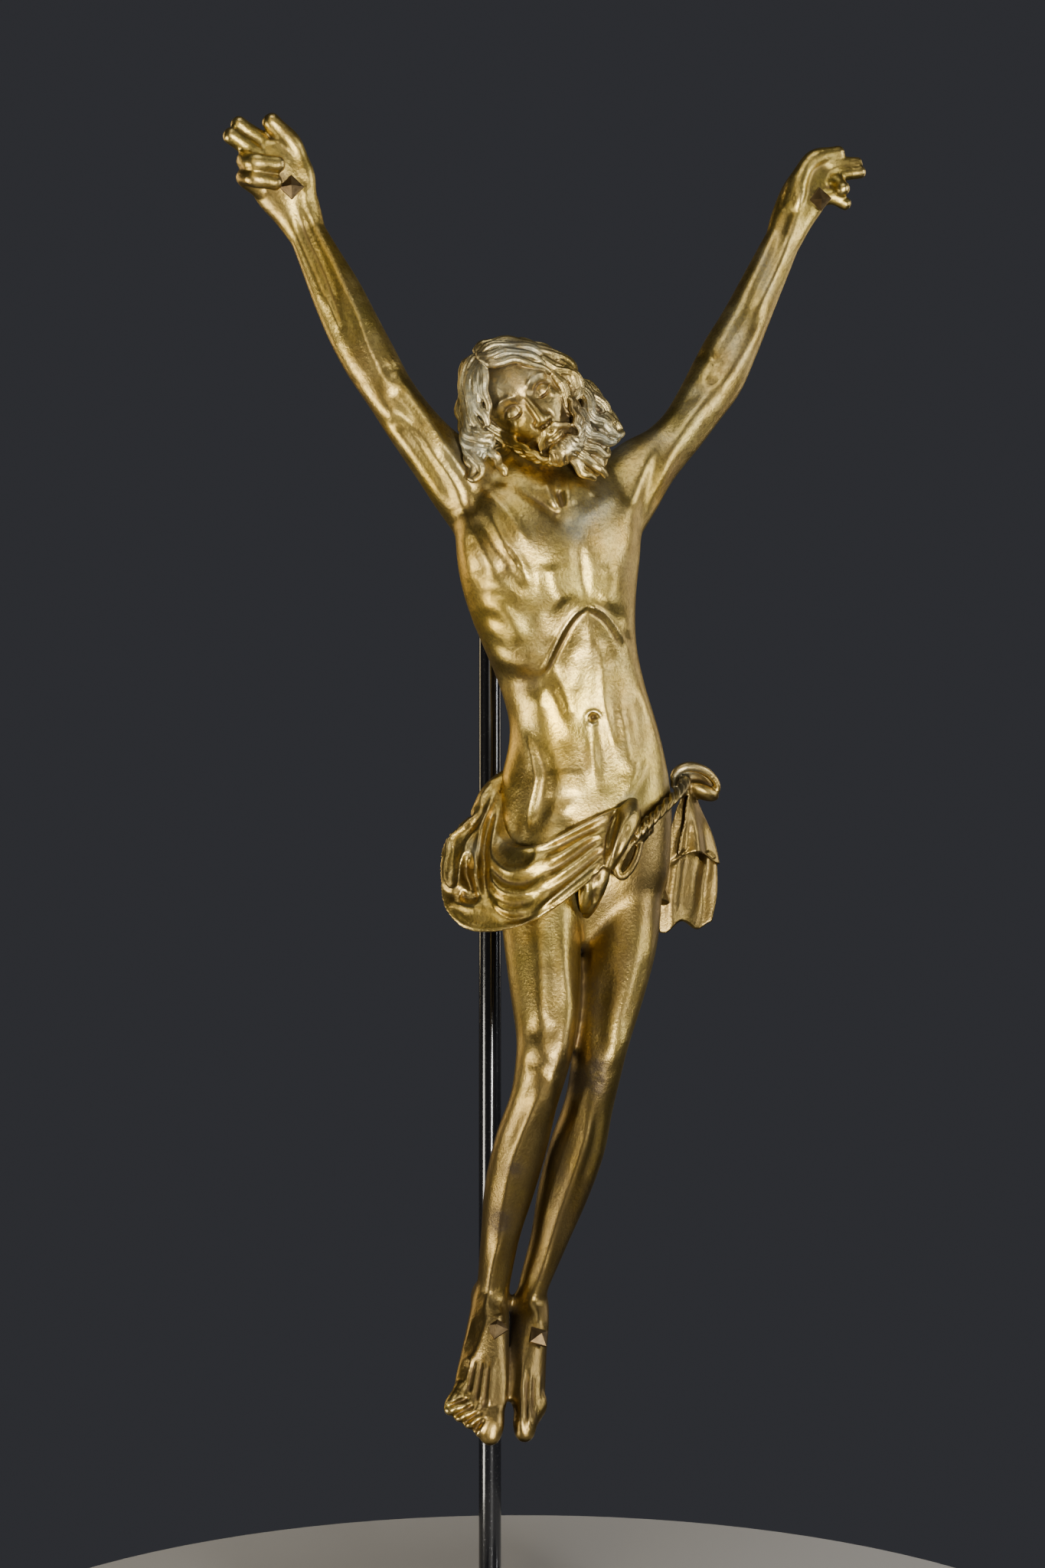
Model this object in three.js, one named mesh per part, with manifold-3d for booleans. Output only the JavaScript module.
// Cast figure of a crucified man, arms raised, hung on a bent rod over a low plate.
// Millimetres, +Z up. The origin is the middle of the plate's underside and the figure faces -Y.
// The figure is drawn at a height of 448 and every point of it goes through spot(), which
// turns the drawn place into the real one. Its own left side is +X.

import * as THREE from 'three';
import { mergeVertices } from 'three/addons/utils/BufferGeometryUtils.js';
import Module from 'manifold-3d';

// Driving dimensions
const FIGURE_HEIGHT = 448; // lowest toe to highest fingertip
const TOE_CLEARANCE = 75; // top of the plate to the lowest toe
const CLOTH_THICKNESS = 2.2; // loincloth at a hem
const ROPE_DIAMETER = 3.8; // twisted girdle
const NAIL_HEAD_WIDTH = 5.8; // across the flats of the square head
const NAIL_HEAD_EDGE = 1.1; // upright edge of the head under its pyramid
const NAIL_HEAD_RISE = 2.4; // height of the pyramid
const NAIL_SHANK_DIAMETER = 2.6;
const NAIL_SHANK_LENGTH = 5;
const ROD_DIAMETER = 8;
const ROD_STANDOFF = 35.5; // figure's back to the rod's axis
const ROD_BEND_RADIUS = 12; // at the rod's axis
const ROD_GRIP = 8; // depth of the rod in the figure's back
const ROD_SEAT = 9; // depth of the rod in the plate
const ROD_EDGE_MARGIN = 24; // rod's axis to the plate's rear edge
const BASE_WIDTH = 120;
const BASE_DEPTH = 116;
const BASE_THICKNESS = 14;
const BASE_CORNER = 7;
const BASE_BEVEL = 1.2;
const FIT_GAP = 0.3; // clearance between pieces that touch

// Places worked out from them
const DRAWN_HEIGHT = 448;
const share = FIGURE_HEIGHT / DRAWN_HEIGHT;
const drawnBack = { y: -1.5, z: 291 }; // where the rod enters, as drawn
const toeLevel = BASE_THICKNESS + TOE_CLEARANCE;
const rodY = BASE_DEPTH / 2 - ROD_EDGE_MARGIN;
const backY = rodY - ROD_STANDOFF;
const forward = backY - drawnBack.y * share; // shift of the drawn figure along Y
const rodTopZ = toeLevel + drawnBack.z * share;

const TURN = Math.PI * 2;
const rad = THREE.MathUtils.degToRad;
const vec = (x, y, z) => new THREE.Vector3(x, y, z);
const spot = (x, y, z) => vec(x * share, y * share + forward, toeLevel + z * share);

// Solids

const wasm = await Module();
wasm.setup();

/** Turns a closed geometry into a solid whose faces point out. */
function solidOf(geometry) {
  const bare = new THREE.BufferGeometry();
  bare.setAttribute('position', geometry.getAttribute('position'));
  if (geometry.index) bare.setIndex(geometry.index);
  const merged = mergeVertices(bare, 1e-4);
  const place = merged.getAttribute('position');
  const corners = Array.from(merged.index.array);
  const [a, b, c] = [vec(), vec(), vec()];
  let volume = 0;
  for (let i = 0; i < corners.length; i += 3) {
    a.fromBufferAttribute(place, corners[i]);
    b.fromBufferAttribute(place, corners[i + 1]);
    c.fromBufferAttribute(place, corners[i + 2]);
    volume += a.dot(b.cross(c));
  }
  if (volume < 0) corners.reverse();
  return new wasm.Manifold(new wasm.Mesh({
    numProp: 3,
    vertProperties: Float32Array.from(place.array),
    triVerts: Uint32Array.from(corners),
  }));
}

const joined = (solids) => solids.reduce((whole, next) => whole.add(next));

/** Gives a solid back as a named mesh of its own material. */
function meshOf(name, solid, material) {
  const { vertProperties, triVerts } = solid.getMesh();
  const geometry = new THREE.BufferGeometry();
  geometry.setAttribute('position', new THREE.BufferAttribute(vertProperties, 3));
  geometry.setIndex(new THREE.BufferAttribute(triVerts, 1));
  geometry.computeVertexNormals();
  const mesh = new THREE.Mesh(geometry, material);
  mesh.name = name;
  return mesh;
}

// Rings and lofts
// A ring is an ellipse: a middle, a sideways and a frontward direction, a half-width,
// and one half-depth to the front and one to the back.

const outOf = (ring, angle) => ring.side.clone().multiplyScalar(ring.half * Math.cos(angle))
  .addScaledVector(ring.front, (Math.sin(angle) > 0 ? ring.fore : ring.aft) * Math.sin(angle));

/**
 * Closed body through rings, its skin pushed out or in by relief(point, corner, ring) millimetres.
 * Crowding above 0 draws the corners of a ring together at its front.
 */
function loft(rings, sides, relief = () => 0, crowding = 0) {
  const places = [];
  rings.forEach((ring, row) => {
    for (let i = 0; i < sides; i += 1) {
      const even = (i / sides) * TURN;
      const out = outOf(ring, even + crowding * Math.cos(even));
      const point = ring.at.clone().add(out);
      point.addScaledVector(out.normalize(), relief(point, i, row));
      places.push(...point.toArray());
    }
  });
  const first = places.length / 3;
  places.push(...rings[0].at.toArray(), ...rings.at(-1).at.toArray());
  const faces = [];
  const last = (rings.length - 1) * sides;
  for (let i = 0; i < sides; i += 1) {
    const next = (i + 1) % sides;
    for (let low = 0; low < last; low += sides) {
      faces.push(low + i, low + next, low + sides + next);
      faces.push(low + i, low + sides + next, low + sides + i);
    }
    faces.push(first, next, i, first + 1, last + i, last + next);
  }
  const geometry = new THREE.BufferGeometry();
  geometry.setAttribute('position', new THREE.Float32BufferAttribute(places, 3));
  geometry.setIndex(faces);
  return solidOf(geometry);
}

/** Smooth value through evenly spaced numbers at t from 0 to 1. */
function through(values, t) {
  const x = t * (values.length - 1);
  const i = Math.min(Math.floor(x), values.length - 2);
  const f = x - i;
  const [p, q] = [values[i], values[i + 1]];
  const [o, r] = [values[i - 1] ?? 2 * p - q, values[i + 2] ?? 2 * q - p];
  return 0.5 * (2 * p + (q - o) * f + (2 * o - 5 * p + 4 * q - r) * f * f
    + (3 * p - o - 3 * q + r) * f * f * f);
}

/** Rings square to a path of stations [x, y, z, half-width, half-depth], faced to `front`. */
function limbRings(stations, count, front) {
  const value = (column, t) => through(stations.map((station) => station[column]), t);
  const middle = (t) => spot(value(0, t), value(1, t), value(2, t));
  const rings = [];
  for (let i = 0; i < count; i += 1) {
    const t = i / (count - 1);
    const along = middle(Math.min(1, t + 0.02)).sub(middle(Math.max(0, t - 0.02))).normalize();
    const faced = front.clone().addScaledVector(along, -front.dot(along)).normalize();
    const depth = value(4, t) * share;
    const side = faced.clone().cross(along).normalize();
    rings.push({ at: middle(t), side, front: faced, half: value(3, t) * share, fore: depth, aft: depth });
  }
  return rings;
}

/** Adds rings that close an end in a dome; at is 'start' or 'end'. */
function domed(rings, ends, steps = 2) {
  const whole = [...rings];
  for (const end of ends) {
    const rim = end === 'end' ? rings.at(-1) : rings[0];
    const inner = end === 'end' ? rings.at(-2) : rings[1];
    const along = rim.at.clone().sub(inner.at).normalize();
    const reach = Math.min(rim.half, rim.fore);
    for (let i = 1; i <= steps; i += 1) {
      const lift = rad((90 * i) / (steps + 0.6));
      const ring = {
        ...rim,
        at: rim.at.clone().addScaledVector(along, reach * Math.sin(lift)),
        half: rim.half * Math.cos(lift),
        fore: rim.fore * Math.cos(lift),
        aft: rim.aft * Math.cos(lift),
      };
      if (end === 'end') whole.push(ring);
      else whole.unshift(ring);
    }
  }
  return whole;
}

/** Closed sheet between an outer and an inner surface, each a function of u and v from 0 to 1. */
function sheet(outer, inner, across, down) {
  const places = [];
  for (const face of [outer, inner]) {
    for (let i = 0; i <= across; i += 1) {
      for (let j = 0; j <= down; j += 1) places.push(...face(i / across, j / down).toArray());
    }
  }
  const row = down + 1;
  const back = (across + 1) * row;
  const faces = [];
  const quad = (a, b, c, d) => faces.push(a, b, c, a, c, d);
  for (let i = 0; i < across; i += 1) {
    for (let j = 0; j < down; j += 1) {
      const a = i * row + j;
      quad(a, a + row, a + row + 1, a + 1);
      quad(back + a, back + a + 1, back + a + row + 1, back + a + row);
    }
    const [top, low] = [i * row, i * row + down];
    quad(top, back + top, back + top + row, top + row);
    quad(low, low + row, back + low + row, back + low);
  }
  for (let j = 0; j < down; j += 1) {
    const far = across * row + j;
    quad(j, j + 1, back + j + 1, back + j);
    quad(far, back + far, back + far + 1, far + 1);
  }
  const geometry = new THREE.BufferGeometry();
  geometry.setAttribute('position', new THREE.Float32BufferAttribute(places, 3));
  geometry.setIndex(faces);
  return solidOf(geometry);
}

/** Relief of raised or sunk strokes: each is a path, a width and a height in millimetres. */
function reliefOf(strokes) {
  const prepared = strokes.map(({ path, width, height }) => ({
    lines: path.slice(1).map((end, i) => new THREE.Line3(spot(...path[i]), spot(...end))),
    width: width * share,
    height: height * share,
  }));
  const near = vec();
  return (point) => prepared.reduce((total, { lines, width, height }) => {
    const away = Math.min(...lines.map((line) => line.closestPointToPoint(point, true, near)
      .distanceTo(point)));
    return total + height * Math.exp(-((away / width) ** 2));
  }, 0);
}

// Trunk

const FRONT = vec(0, -1, 0);
const VIEWER = vec(-Math.sin(rad(20)), -Math.cos(rad(20)), 0); // the side the figure is shown from

const trunkSlices = [
  [14.5, -17, 166, 17, 12, 12, -12],
  [16, -17, 184, 28, 17.5, 17.5, -12],
  [17, -17, 202, 29.5, 18, 19.5, -12],
  [18.2, -17, 220, 28, 17.2, 17.5, -10],
  [16.6, -16.5, 238, 26, 16.2, 15.6, -6],
  [11.8, -17, 254, 25.8, 16.8, 15.6, -1],
  [6.2, -18.5, 269, 27.5, 19.5, 17.5, 3],
  [2.4, -20.5, 284, 30.6, 21.6, 19.2, 6],
  [1.5, -21.5, 299, 33, 22, 20, 7],
  [2.6, -20.5, 313, 33, 19, 19, 7],
  [4, -19, 325, 27, 13.5, 15.5, 7],
  [5.5, -18, 335, 13, 6, 9, 7],
];

/** Level slice of the trunk at a drawn height: [x, y, z, half-width, front, back, yaw]. */
function trunkSlice(height) {
  const value = (column, t) => through(trunkSlices.map((slice) => slice[column]), t);
  let [low, high] = [0, 1];
  for (let i = 0; i < 24; i += 1) {
    const half = (low + high) / 2;
    if (value(2, half) < height) low = half;
    else high = half;
  }
  return trunkSlices[0].map((_, column) => value(column, low));
}

/** Place on the trunk: an angle round it (0 its left side, 90 the front) and a drawn height. */
function onTrunk(angle, height) {
  const [x, y, , half, fore, aft, yaw] = trunkSlice(height);
  const sideways = half * Math.cos(rad(angle));
  const ahead = (angle > 0 && angle < 180 ? fore : aft) * Math.sin(rad(angle));
  const turn = rad(yaw);
  return [
    x + sideways * Math.cos(turn) + ahead * Math.sin(turn),
    y + sideways * Math.sin(turn) - ahead * Math.cos(turn),
    height,
  ];
}

/** Stroke over the trunk through [angle, height] places. */
const trunkStroke = (places, width, height) => (
  { path: places.map(([angle, z]) => onTrunk(angle, z)), width, height });

const trunkStrokes = [
  // breast muscles: tendon to the shoulder and lower edge
  trunkStroke([[168, 319], [150, 314], [128, 306]], 4.5, 1.5),
  trunkStroke([[160, 311], [143, 301], [133, 294], [123, 286]], 4.2, 2),
  trunkStroke([[40, 308], [54, 297], [72, 288]], 5, 1.6),
  // groove of the breastbone
  trunkStroke([[98, 309], [93, 296], [88, 284]], 4, -1.4),
  // arch of the ribs, and the hollow under it
  trunkStroke([[86, 277], [100, 271], [112, 263], [124, 255]], 4, 2.6),
  trunkStroke([[86, 277], [72, 273], [58, 266], [44, 259]], 4, 2.4),
  trunkStroke([[89, 263], [91, 250]], 8, -2.4),
  // belly: middle groove, a ridge on each side of it, and the flanks
  trunkStroke([[86, 258], [92, 244], [93, 214]], 3.5, -1.2),
  trunkStroke([[103, 256], [104, 238], [108, 214]], 4, 1),
  trunkStroke([[74, 256], [72, 238], [76, 216]], 4, 1),
  trunkStroke([[40, 252], [34, 236], [22, 224]], 4.5, 1),
  trunkStroke([[130, 250], [128, 232], [126, 212]], 6, -1.6),
  // crest of the right hip
  trunkStroke([[154, 240], [147, 222], [140, 207]], 5, 1.8),
  // spine and shoulder blades
  trunkStroke([[-88, 318], [-88, 290], [-90, 260], [-92, 225]], 5, -2),
  trunkStroke([[-128, 318], [-122, 302], [-128, 290]], 7, 2),
  trunkStroke([[-50, 318], [-56, 302], [-50, 290]], 7, 2),
];

// ribs on each flank, each sloping down to the front
const RIBS = 4;
for (let rib = 0; rib < RIBS; rib += 1) {
  const z = 294 - rib * 9;
  trunkStrokes.push(
    trunkStroke([[186, z + 5], [166, z], [146, z - 4]], 3, 1.2),
    trunkStroke([[-8, z + 5], [12, z], [34, z - 4]], 3, 1.2),
  );
}

/** Trunk of level rings, close together from the hips to the collarbones. */
function trunk() {
  const heights = [166, 180, 192];
  for (let z = 200; z < 316; z += 6.8) heights.push(z);
  heights.push(320, 327, 332, 335);
  const rings = heights.map((height) => {
    const [x, y, z, half, fore, aft, yaw] = trunkSlice(height);
    const turn = rad(yaw);
    return {
      at: spot(x, y, z),
      side: vec(Math.cos(turn), Math.sin(turn), 0),
      front: vec(Math.sin(turn), -Math.cos(turn), 0),
      half: half * share,
      fore: fore * share,
      aft: aft * share,
    };
  });
  return loft(rings, 24, reliefOf(trunkStrokes), 0.42);
}

// Neck

const neck = () => loft(limbRings([
  [6, -17, 312, 14, 11],
  [3, -20, 323, 10, 9],
  [-3, -23, 334, 10, 9],
  [-7, -24, 345, 12, 12],
  [-9, -26, 355, 11, 11],
], 5, VIEWER), 10);

// Arms, from inside the trunk to the wrist

const rightArmStations = [
  [-8, -20, 300, 15, 12],
  [-19, -19, 313, 14.5, 12.5],
  [-29.5, -18.5, 323.5, 12.6, 11.5],
  [-38, -18, 331.5, 10.1, 10],
  [-46, -17, 341, 8.9, 9.3],
  [-53, -15, 351.5, 8.5, 8.8],
  [-59, -13, 362, 9.2, 8.4],
  [-64.5, -11, 373, 9.2, 7.8],
  [-69.5, -9, 384.5, 8.7, 6.9],
  [-75, -7, 396.5, 7.3, 5.7],
  [-80.5, -5, 408.5, 6.1, 4.7],
];
const leftArmStations = [
  [16, -19, 303, 15, 12],
  [27, -18, 317, 14, 12.5],
  [37, -17, 328, 11.8, 11.2],
  [46, -16, 335.5, 9.2, 9.8],
  [54, -15, 343.5, 8.5, 9],
  [61, -13.5, 352.5, 9, 8.7],
  [67.5, -12, 361.5, 9.9, 8.4],
  [73.5, -10.5, 372, 9.6, 7.9],
  [80, -9, 383, 8.6, 7.1],
  [88, -7, 397.5, 7.7, 5.8],
  [98.5, -5, 417, 6.5, 4.8],
];

/** An arm with the two long cords of its forearm and the bulge of its upper arm. */
function arm(stations, elbow, wrist, inner) {
  const [from, to] = [stations[elbow], stations[wrist]];
  const cord = (slide) => [
    [from[0] + slide, from[1] - from[4], from[2]],
    [(from[0] + to[0]) / 2 + slide * 0.6, (from[1] + to[1]) / 2 - from[4] * 0.8, (from[2] + to[2]) / 2],
    [to[0] + slide * 0.4, to[1] - to[4], to[2]],
  ];
  const [top, low] = [stations[3], stations[elbow - 1]];
  const muscle = [[top[0], top[1] - top[4], top[2]], [low[0], low[1] - low[4], low[2]]];
  return loft(limbRings(stations, 11, VIEWER), 9, reliefOf([
    { path: cord(inner * 3.5), width: 2.6, height: 1 },
    { path: cord(inner * -1), width: 2.2, height: -0.8 },
    { path: muscle, width: 4, height: 0.9 },
  ]));
}

// Hands

/** Finger or toe through [x, y, z] joints, tapering from one half-width to another. */
function digit(joints, from, to, sides = 5) {
  const stations = joints.map(([x, y, z], i) => {
    const half = THREE.MathUtils.lerp(from, to, i / (joints.length - 1));
    return [x, y, z, half, half * 0.92];
  });
  return loft(domed(limbRings(stations, joints.length, VIEWER), ['end'], 1), sides);
}

const rightHand = () => joined([
  loft(domed(limbRings([
    [-78.5, -5.4, 404, 6.3, 4.8],
    [-82.5, -5.4, 412, 8.3, 5],
    [-87, -5.5, 419.5, 10.2, 5],
    [-91, -6, 426, 9.6, 4.4],
    [-93.5, -6, 430.5, 7.6, 3.8],
  ], 5, VIEWER), ['end'], 1), 8),
  digit([[-79.5, -7, 415], [-81.5, -8, 425], [-85, -8.5, 433], [-92.3, -9, 440.6]], 3.2, 2.3),
  digit([[-91, -6, 427], [-95, -6, 434], [-103.2, -6.5, 439.5]], 2.6, 1.9),
  digit([[-91.5, -6, 424], [-98, -7.5, 430], [-106.2, -8.5, 435]], 2.6, 2),
  digit([[-96, -5, 424], [-101, -9, 427], [-99.5, -13.5, 425.3], [-91.5, -13.5, 425.3]], 2.6, 2.1),
  digit([[-95, -5, 418], [-101, -8, 421.5], [-99.5, -12.5, 420.3], [-92, -12.5, 419.8]], 2.5, 1.9),
]);

const leftHand = () => joined([
  loft(domed(limbRings([
    [96.8, -5.4, 413.5, 6.5, 4.8],
    [100.5, -5.4, 422, 7.6, 5],
    [105, -5.5, 430, 8.4, 5],
    [109, -6, 436.5, 7.6, 4.4],
    [111.5, -6, 440, 6, 3.8],
  ], 5, VIEWER), ['end'], 1), 8),
  digit([[98.5, -7, 425], [101.5, -8, 434.5], [107, -8.5, 442.5], [117, -9, 446]], 3.1, 1.9),
  digit([[108, -6, 437], [114, -8, 441.5], [124.6, -9, 442.6]], 2.4, 1.7),
  digit([[109.5, -6, 434], [116, -9, 437.5], [125.2, -10.5, 439.4]], 2.3, 1.7),
  digit([[108, -5, 432], [114.5, -10, 434.8], [116, -14, 431.8]], 2.4, 2.1),
  digit([[106, -5, 426], [112.5, -10, 429.5], [118, -12, 427]], 2.4, 1.8),
]);

// Legs, from inside the trunk to the ankle

const rightLegStations = [
  [3, -18, 202, 15, 16],
  [0, -20, 184, 15, 15.5],
  [-1.6, -24, 168, 13.1, 14.2],
  [-2.6, -29.5, 151, 11.8, 13],
  [-4, -34, 136, 9.9, 11.4],
  [-5.8, -35.5, 127, 9, 10.2],
  [-7.6, -32, 114, 8, 9],
  [-9.8, -26, 99.5, 9, 9.4],
  [-12, -20, 83, 8.6, 8.7],
  [-13.6, -15.5, 67, 6.8, 6.8],
  [-14.8, -12, 50, 5.8, 6],
  [-15.6, -10.5, 40, 5.6, 6],
];
const leftLegStations = [
  [28, -17, 202, 15, 16],
  [28.5, -19, 184, 14.6, 15.5],
  [27, -23, 168, 13.1, 14.2],
  [21.5, -28, 150, 11.6, 12.8],
  [16.5, -32, 134, 9.6, 11.2],
  [14.4, -33, 124, 8.6, 10],
  [13.2, -29, 111, 8.3, 9],
  [11.4, -23.5, 97, 9.5, 9.4],
  [8, -18, 80, 8.8, 8.6],
  [4.6, -14, 64, 6.6, 6.8],
  [-0.6, -11, 46, 5.2, 5.8],
  [-1.8, -9.5, 36, 5, 5.8],
];

/** A leg with its kneecap, the edge of its shin and the calf behind. */
function leg(stations) {
  const knee = stations[5];
  const shin = stations.slice(6, 10).map(([x, y, z, , depth]) => [x - 2, y - depth, z]);
  const calf = stations.slice(7, 9).map(([x, y, z, , depth]) => [x, y + depth, z]);
  const cap = [[knee[0] - 1, knee[1] - knee[4], knee[2] + 3], [knee[0] - 1, knee[1] - knee[4], knee[2] - 3]];
  const thigh = stations.slice(2, 4).map(([x, y, z, , depth]) => [x + 3, y - depth, z]);
  return loft(limbRings(stations, 14, FRONT), 11, reliefOf([
    { path: cap, width: 5, height: 1.6 },
    { path: shin, width: 3, height: 1 },
    { path: calf, width: 7, height: 1.8 },
    { path: thigh, width: 5, height: 0.8 },
  ]));
}

// Feet, pointed down, with five toes each

/** Foot from heel to ball, and toes fanned between the big and the little one. */
function foot(stations, front, bigToe, littleToe) {
  const parts = [loft(domed(limbRings(stations, 6, front), ['start', 'end'], 1), 8)];
  for (let toe = 0; toe < 5; toe += 1) {
    const t = toe / 4;
    const root = bigToe.root.map((value, axis) => THREE.MathUtils.lerp(value, littleToe.root[axis], t));
    const tip = bigToe.tip.map((value, axis) => THREE.MathUtils.lerp(value, littleToe.tip[axis], t));
    const half = toe === 0 ? 3 : 2 - toe * 0.06;
    parts.push(digit([root, tip], half, half * 0.85));
  }
  return joined(parts);
}

const rightFoot = () => foot([
  [-13, 1, 40, 5, 6],
  [-14.2, -6, 43, 6.2, 8.6],
  [-17.2, -14, 38, 7, 8.4],
  [-20.5, -20, 29, 7.9, 6.4],
  [-23.5, -25, 20, 9, 4.6],
  [-25.5, -28.5, 13.5, 9, 3.6],
], vec(-0.2, -0.75, 0.6), {
  root: [-20, -28, 14],
  tip: [-24.8, -34.5, 2.6],
}, {
  root: [-31.5, -26, 18],
  tip: [-36.6, -30.5, 12.2],
});

const leftFoot = () => foot([
  [2, 2, 36, 4.8, 6],
  [0.4, -5, 39, 5.8, 8.4],
  [-2.4, -13, 35, 6.2, 8.2],
  [-5.2, -19, 27, 6.8, 6.2],
  [-7.6, -24.5, 18.5, 7.4, 4.6],
  [-8.8, -28, 12.5, 7.2, 3.6],
], vec(0.35, -0.7, 0.6), {
  root: [-10.5, -28.5, 13],
  tip: [-12.4, -34.5, 2.8],
}, {
  root: [-4, -25, 16],
  tip: [-4.6, -29, 9],
});

// Head, fallen to the figure's right shoulder
// Places on it are given from its middle: to its left, to its front and up.

const headMiddle = [-8.6, -27, 349];
const HEAD_SIZE = 0.9; // of the size that the places below are drawn at
const headLeft = vec(1, 0, 0);
const headFront = vec(0, -1, 0);
const headUp = vec(0, 0, 1);
for (const axis of [headLeft, headFront, headUp]) {
  axis.applyAxisAngle(vec(1, 0, 0), rad(12)); // chin lowered
  axis.applyAxisAngle(vec(0, 1, 0), rad(-38)); // tipped to its right
  axis.applyAxisAngle(vec(0, 0, 1), rad(-24)); // turned to the viewer
}
const onHead = (left, front, up) => {
  const place = vec(...headMiddle).addScaledVector(headLeft, left * HEAD_SIZE)
    .addScaledVector(headFront, front * HEAD_SIZE).addScaledVector(headUp, up * HEAD_SIZE);
  return place.toArray();
};

/** Level slices of the skull and jaw: [up, half-width, front, back]. */
const headSlices = [
  [-24, 5, 12, 2],
  [-20, 9, 16, 7],
  [-14, 12.5, 17.5, 13],
  [-6, 15, 18, 18],
  [2, 16.4, 18.4, 20.5],
  [10, 16.8, 18.2, 21],
  [17, 14.6, 15.4, 18.4],
  [22, 9.6, 9.4, 12.6],
  [24.6, 4, 4, 5],
];

/** Face on plain proportions: eyes half way down, nose to three quarters, brow above the eyes. */
function head() {
  const rings = [];
  const count = 10;
  for (let i = 0; i < count; i += 1) {
    const [up, half, fore, aft] = headSlices[0].map((_, column) => (
      through(headSlices.map((slice) => slice[column]), i / (count - 1))));
    rings.push({
      at: spot(...onHead(0, 0, up)),
      side: headLeft,
      front: headFront,
      half: half * HEAD_SIZE * share,
      fore: fore * HEAD_SIZE * share,
      aft: aft * HEAD_SIZE * share,
    });
  }
  const strokes = [
    { path: [onHead(-10, 16, 4.5), onHead(-4, 19, 4)], width: 2.6, height: 1.2 },
    { path: [onHead(10, 16, 4.5), onHead(4, 19, 4)], width: 2.6, height: 1.2 },
    { path: [onHead(-7.5, 17, 0.5), onHead(-5.5, 18, 0.5)], width: 2.6, height: -1.8 },
    { path: [onHead(7.5, 17, 0.5), onHead(5.5, 18, 0.5)], width: 2.6, height: -1.8 },
    { path: [onHead(-9, 14, -6), onHead(-8, 14, -8)], width: 3.4, height: 1 },
    { path: [onHead(9, 14, -6), onHead(8, 14, -8)], width: 3.4, height: 1 },
  ];
  const nose = loft(domed(limbRings([
    [...onHead(0, 17, 3), 1.7, 1.6],
    [...onHead(0, 18.6, -2), 1.8, 2],
    [...onHead(0, 19.8, -6.5), 2.3, 2.6],
    [...onHead(0, 18.6, -9), 2.8, 2.2],
  ], 4, headFront), ['end'], 1), 6);
  return loft(rings, 15, reliefOf(strokes), 0.3).add(nose);
}

/** Lock of hair along a path, swaying as it goes; its ridges are every other corner. */
function lock(path, half, depth, { sway = 0, waves = 1, steps = 7, sides = 6, ridge = 0, taper = 0.7 } = {}) {
  const curve = new THREE.CatmullRomCurve3(path.map((point) => vec(...point)));
  const stations = [];
  for (let i = 0; i <= steps; i += 1) {
    const t = i / steps;
    const across = curve.getTangent(t).cross(headFront).normalize();
    const place = curve.getPoint(t).addScaledVector(across, sway * Math.sin(TURN * waves * t));
    const width = 1 - taper * t * t;
    stations.push([...place.toArray(), half * width, depth * width]);
  }
  const flutes = (_, corner) => (corner % 2 ? ridge : -ridge) * share;
  return loft(limbRings(stations, steps + 1, headFront), sides, flutes);
}

/** Hair: one fluted mass from the crown down the nape, and a wavy fall on each side. */
function hair() {
  const mass = [];
  const size = HEAD_SIZE * share;
  const capRings = 8;
  for (let i = 0; i < capRings; i += 1) {
    const lift = rad(84 - (110 * i) / (capRings - 1));
    const round = Math.cos(lift) * size;
    mass.push({
      at: spot(...onHead(0, -5, 3.5 + 23.6 * Math.sin(lift))),
      side: headLeft,
      front: headFront,
      half: 17.2 * round,
      fore: (lift > 0.35 ? 18.8 : 8 + 6 * Math.max(0, lift)) * round,
      aft: 20.4 * round,
    });
  }
  const nape = [
    [-3, -17, 336, 18, 7, 11],
    [1, -14, 328, 17.5, 8, 9],
    [3, -11, 319, 16, 8, 7.5],
    [4.5, -9, 311, 11, 8, 6],
  ];
  const [side, front] = [vec(1, -0.1, -0.15).normalize(), vec(-0.1, -1, 0).normalize()];
  for (const [x, y, z, half, fore, aft] of nape) {
    mass.push({ at: spot(x, y, z), side, front, half: half * share, fore: fore * share, aft: aft * share });
  }
  const flutes = (_, corner, row) => (corner % 2 ? 0.9 : -0.6) * Math.min(1, row / 2) * share;
  return joined([
    loft(mass, 16, flutes),
    lock([
      onHead(-10.5, 10, 16),
      onHead(-16.5, 6, 3),
      [-30, -33, 334],
      [-26, -35, 320],
    ], 6.2, 5.4, { sway: 1.2, steps: 6, ridge: 0.5 }),
    lock([
      onHead(4, 10, 19),
      onHead(13.5, 7, 9.5),
      onHead(18, 2, -4),
      [17.5, -29, 337],
      [17.5, -33, 323],
    ], 6.2, 5.6, { sway: 1.7, waves: 2, steps: 8, ridge: 0.5 }),
  ]);
}

/** Short beard of curls hung along the jaw, and a moustache. */
function beard() {
  const jaw = [];
  const count = 9;
  for (let i = 0; i < count; i += 1) {
    const side = (2 * i) / (count - 1) - 1;
    const round = Math.cos(side * 1.3);
    const curl = i % 2 ? 1.2 : -0.4;
    const [front, up] = [2.5 + 13.5 * round + curl * round, -13.5 - 7.5 * round - curl];
    jaw.push([...onHead(side * 12.4, front, up), 1.6 + 3.4 * round, 1.8 + 3.2 * round]);
  }
  const whisker = (side) => lock([
    onHead(side * 0.4, 17.6, -11),
    onHead(side * 5, 16.4, -13),
    onHead(side * 8.4, 12.8, -18),
  ], 2, 1.8, { steps: 2, sides: 5 });
  return joined([loft(limbRings(jaw, 9, headFront), 6), whisker(-1), whisker(1)]);
}

// Loincloth
// Its folds run from the right hip down and across the belly to the knot at the left hip.

const knot = [36, -35, 207];

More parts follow.
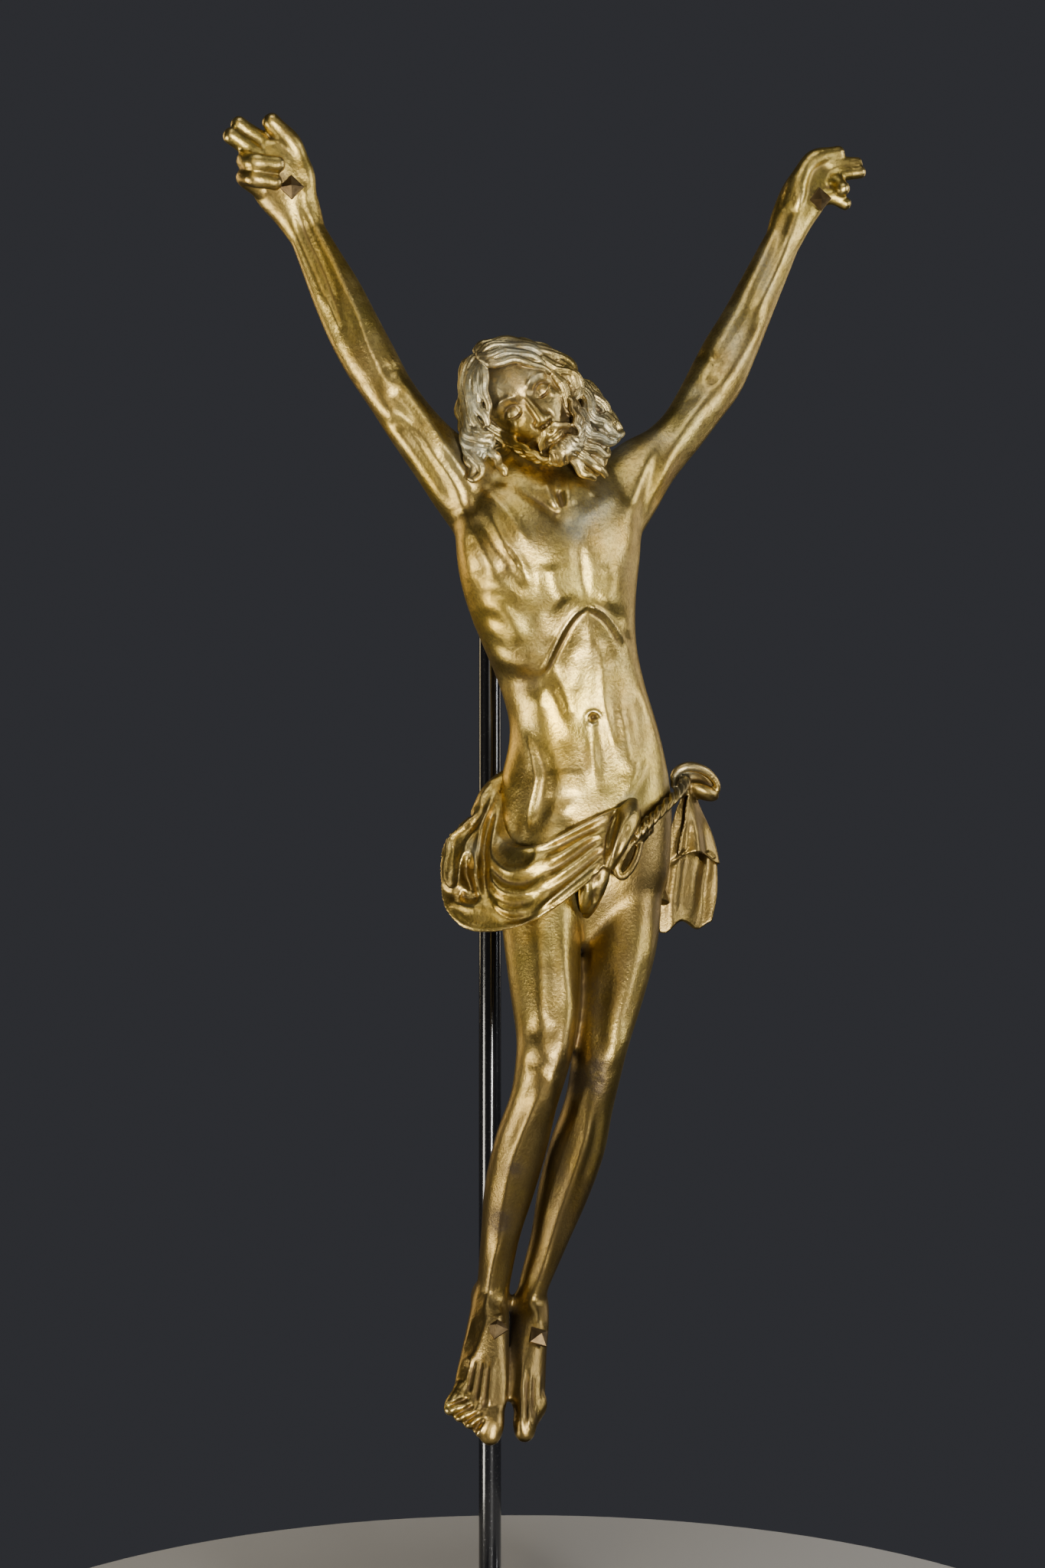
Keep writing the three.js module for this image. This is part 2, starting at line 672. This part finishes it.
/** Point of a hem: u runs along it through the listed places. */
const hem = (places) => (u) => [0, 1, 2].map((axis) => through(places.map((place) => place[axis]), u));

const innerHem = hem([
  [-9, -24, 223],
  [-12, -28, 216],
  [-15, -31, 209],
  [-16.5, -34, 203],
  [-14, -36.5, 200],
  [-8, -38, 199],
  [0, -39, 199.5],
  [8, -39.5, 202.5],
  [16, -39, 206],
  [23, -38, 209.5],
  [30, -35.5, 212.5],
]);
const outerHem = hem([
  [-13, -15, 222],
  [-19.5, -14, 217.5],
  [-22, -14, 209],
  [-29, -15, 202],
  [-32, -17, 190],
  [-32, -22, 178.5],
  [-25, -34, 171],
  [-12, -41, 174],
  [2, -43, 182],
  [14, -42, 192],
  [28, -38.5, 206],
]);

/** Place on the cloth: w runs from the inner hem to the outer one, lift stands off the body. */
function clothAt(u, w, lift) {
  const [inside, outside] = [innerHem(u), outerHem(u)];
  const [x, y, z] = inside.map((value, axis) => THREE.MathUtils.lerp(value, outside[axis], w));
  const axisX = 16;
  const away = vec(x - axisX, y + 17, 0).normalize();
  return spot(x, y, z).addScaledVector(away, lift * share);
}

/** Folds run along the cloth, deepest over the hip, and shallow out towards the knot. */
function foldHeight(u, w) {
  const along = 0.25 * Math.sin(5 * u + 0.5);
  const folds = Math.abs(Math.sin(Math.PI * (3.4 * w + along + 0.1)));
  const depth = 3.2 * Math.sin(Math.PI * Math.min(1, 0.1 + 0.85 * u)) ** 0.6;
  return depth * folds * (0.7 + 0.3 * Math.sin(11 * u + 4 * w));
}

const swag = () => sheet(
  (u, w) => clothAt(u, w, 1 + foldHeight(u, w)),
  (u, w) => clothAt(u, w, 1 - CLOTH_THICKNESS / share - 3.5 * (1 - w) - 6 * Math.max(0, u - 0.5) * (1 - w)),
  16,
  8,
);

/** Cloth slung over the seat, from the left hip round the back to the right one. */
function seatCloth() {
  const at = (u, w, lift) => {
    const turn = rad(-12 + 188 * u);
    const sling = Math.sin(Math.PI * u);
    const z = 224 - 3 * u - w * (44 + 5 * sling) - 2 * sling;
    const out = lift + 2.5 * w;
    return spot(17 + (30.5 + out) * Math.cos(turn), -15 + (19 + out) * Math.sin(turn), z);
  };
  const fold = (u, w) => 2 * Math.abs(Math.sin(Math.PI * (2.6 * w + 0.35 * Math.sin(5 * u) + 0.1)));
  return sheet(
    (u, w) => at(u, w, 0.8 + fold(u, w)),
    (u, w) => at(u, w, 0.8 - CLOTH_THICKNESS / share - 7 * (1 - w) ** 1.5),
    12,
    6,
  );
}

/** Tail of the cloth, fanned in upright folds below the left hip. */
function tail() {
  const at = (u, w, lift) => {
    const spread = 0.35 + 0.65 * Math.min(1, w * 1.5);
    const x = 57.5 + (u - 0.5) * 25 * spread - 1.5 * w;
    const z = 220 - w * (49 - 4 * Math.cos(TURN * u * 1.5));
    const y = -6 + (u - 0.5) * 5 + 2.4 * spread * Math.sin(Math.PI * 5 * u) - 2 * w;
    return spot(x, y - lift / share, z);
  };
  return sheet((u, w) => at(u, w, CLOTH_THICKNESS), (u, w) => at(u, w, 0), 14, 3);
}

/** Roll of cloth that is pulled through above the tail. */
const roll = () => joined([
  loft(domed(limbRings([
    [44, -10, 220, 4, 5],
    [52, -9, 225, 4.4, 5.5],
    [60, -8, 224.5, 4.6, 5.5],
    [65, -8, 219, 4.2, 4.8],
    [61.5, -8, 213.5, 3, 3.6],
  ], 6, FRONT), ['end'], 1), 7),
  loft(domed(limbRings([
    [46, -9, 214, 5, 6],
    [54, -7, 216, 5, 5.5],
    [57, -6, 210, 4.5, 4.5],
  ], 3, FRONT), ['end'], 1), 6),
]);

/** Twisted girdle: a three-lobed section that turns as it goes round the hip. */
function girdle() {
  const stations = [[...knot], [43, -30, 211], [48.5, -22, 216.5], [51, -12, 220]];
  const half = ROPE_DIAMETER / 2 / share;
  const count = 12;
  const rings = limbRings(stations.map((station) => [...station, half, half]), count, FRONT);
  rings.forEach((ring, i) => {
    const flat = i % 2 ? 0.8 : 1.16;
    ring.half *= flat;
    ring.fore *= 2 - flat;
    ring.aft *= 2 - flat;
  });
  return loft(rings, 6);
}

/** Knot, its hanging loop and the cloth bunched over the girdle. */
const knotFolds = () => joined([
  loft(domed(limbRings([
    [26, -33, 216, 3, 4],
    [29, -38, 208, 4.6, 4.4],
    [25, -40, 198, 4, 3.6],
    [20, -40, 190, 2.4, 2.6],
  ], 4, FRONT), ['end'], 1), 7),
  loft(domed(limbRings([
    [31, -38, 206, 2.4, 2.6],
    [27.5, -40, 198, 2.2, 2.2],
    [28.5, -40, 190.5, 2.2, 2.2],
    [33, -38.5, 195, 2, 2],
    [35, -36.5, 203, 2.2, 2.2],
  ], 6, FRONT), [], 1), 5),
  loft(domed(limbRings([
    [32.5, -35, 207, 3.4, 3.6],
    [38.5, -34, 208.5, 3.4, 3.6],
  ], 2, FRONT), ['start', 'end'], 1), 6),
  loft(domed(limbRings([
    [12, -34, 188, 3.4, 4],
    [11, -37, 180, 3.6, 4],
    [10, -36, 173, 2, 2.4],
  ], 3, FRONT), ['end'], 1), 6),
]);

// Nails

/** Square nail with a pyramid head; its seat is the underside of the head. */
function nailSolid(grow) {
  const width = NAIL_HEAD_WIDTH + 2 * grow;
  const corner = width / Math.SQRT2;
  const edge = new THREE.CylinderGeometry(corner, corner, NAIL_HEAD_EDGE + 2 * grow, 4);
  edge.translate(0, NAIL_HEAD_EDGE / 2, 0);
  const point = new THREE.ConeGeometry(corner, NAIL_HEAD_RISE, 4);
  point.translate(0, NAIL_HEAD_EDGE + NAIL_HEAD_RISE / 2 - 0.02, 0);
  const radius = NAIL_SHANK_DIAMETER / 2 + grow;
  const length = NAIL_SHANK_LENGTH + grow;
  const shank = new THREE.CylinderGeometry(radius, radius, length, 6);
  shank.translate(0, -length / 2 + 0.02, 0);
  return [edge, point, shank];
}

/** Room in the flesh for a nail: its shank hole and a square recess open to the front. */
function nailRoom() {
  const [, , shank] = nailSolid(FIT_GAP);
  const corner = (NAIL_HEAD_WIDTH + 2 * FIT_GAP) / Math.SQRT2;
  const reach = NAIL_HEAD_EDGE + NAIL_HEAD_RISE + NAIL_SHANK_LENGTH;
  const recess = new THREE.CylinderGeometry(corner, corner, reach, 4);
  recess.translate(0, reach / 2 - FIT_GAP, 0);
  return [shank, recess];
}

// name, seat of the head, direction in which the head points, turn about it
const nailPlaces = [
  ['nail_right_hand', [-85.6, -10.6, 418.5], vec(-0.3, -0.95, 0.05), 20],
  ['nail_left_hand', [108.8, -10.7, 428.2], vec(-0.25, -0.95, -0.15), 35],
  ['nail_right_foot', [-18, -23.1, 36.5], vec(-0.15, -0.8, 0.58), 45],
  ['nail_left_foot', [-2.8, -22.9, 32.5], vec(0.1, -0.8, 0.58), 45],
];

/** Sets upright geometries at a nail's seat and joins them. */
function nailAt(geometries, seat, pointing, turn) {
  const tilt = new THREE.Quaternion().setFromUnitVectors(vec(0, 1, 0), pointing.clone().normalize());
  const spin = new THREE.Quaternion().setFromAxisAngle(vec(0, 1, 0), rad(turn));
  const place = new THREE.Matrix4().compose(spot(...seat), tilt.multiply(spin), vec(1, 1, 1));
  return joined(geometries.map((geometry) => solidOf(geometry.applyMatrix4(place))));
}

// Stand

/** Rod up from the plate, bent forward into the figure's back; grow makes it a cutter. */
function rodSolid(grow) {
  const radius = ROD_DIAMETER / 2 + grow;
  const path = [vec(0, rodY, BASE_THICKNESS - ROD_SEAT - grow)];
  const bendY = rodY - ROD_BEND_RADIUS;
  const bendZ = rodTopZ - ROD_BEND_RADIUS;
  const steps = 6;
  for (let i = 0; i <= steps; i += 1) {
    const turn = rad((90 * i) / steps);
    path.push(vec(0, bendY + ROD_BEND_RADIUS * Math.cos(turn), bendZ + ROD_BEND_RADIUS * Math.sin(turn)));
  }
  path.push(vec(0, backY - ROD_GRIP - grow, rodTopZ));
  const rings = path.map((at, i) => {
    const along = (path[i + 1] ?? at).clone().sub(path[i - 1] ?? at).normalize();
    const side = vec(1, 0, 0);
    return { at, side, front: side.clone().cross(along), half: radius, fore: radius, aft: radius };
  });
  return loft(rings, 12);
}

/** Low plate with rounded corners and a small bevel all round. */
function baseSolid() {
  const [halfX, halfY] = [BASE_WIDTH / 2 - BASE_BEVEL, BASE_DEPTH / 2 - BASE_BEVEL];
  const corner = Math.max(0.5, BASE_CORNER - BASE_BEVEL);
  const outline = new THREE.Shape();
  outline.absarc(halfX - corner, halfY - corner, corner, 0, TURN / 4);
  outline.absarc(corner - halfX, halfY - corner, corner, TURN / 4, TURN / 2);
  outline.absarc(corner - halfX, corner - halfY, corner, TURN / 2, (TURN * 3) / 4);
  outline.absarc(halfX - corner, corner - halfY, corner, (TURN * 3) / 4, TURN);
  outline.closePath();
  const geometry = new THREE.ExtrudeGeometry(outline, {
    depth: BASE_THICKNESS - 2 * BASE_BEVEL,
    bevelThickness: BASE_BEVEL,
    bevelSize: BASE_BEVEL,
    bevelSegments: 1,
    curveSegments: 3,
  });
  geometry.translate(0, 0, BASE_BEVEL);
  return solidOf(geometry);
}

// Assembly

const bronze = new THREE.MeshStandardMaterial({ color: 0xb08d4c, roughness: 0.35, metalness: 1 });
const nailBronze = new THREE.MeshStandardMaterial({ color: 0xa07c40, roughness: 0.4, metalness: 1 });
const black = new THREE.MeshStandardMaterial({ color: 0x101114, roughness: 0.25, metalness: 0.1 });

const flesh = joined([
  trunk(),
  neck(),
  arm(rightArmStations, 6, 10, 1),
  arm(leftArmStations, 6, 10, -1),
  rightHand(),
  leftHand(),
  leg(rightLegStations),
  leg(leftLegStations),
  rightFoot(),
  leftFoot(),
  head(),
  hair(),
  beard(),
]);
const cloth = joined([swag(), seatCloth(), tail(), roll(), girdle(), knotFolds()]);
const rooms = nailPlaces.map(([, ...place]) => nailAt(nailRoom(), ...place));
const corpus = flesh.add(cloth).subtract(joined([...rooms, rodSolid(FIT_GAP)]));

const part = new THREE.Group();
part.add(meshOf('corpus', corpus, bronze));
for (const [name, ...place] of nailPlaces) {
  part.add(meshOf(name, nailAt(nailSolid(0), ...place), nailBronze));
}
part.add(meshOf('stand_rod', rodSolid(0), black));
part.add(meshOf('stand_base', baseSolid().subtract(rodSolid(FIT_GAP)), black));

export default part;
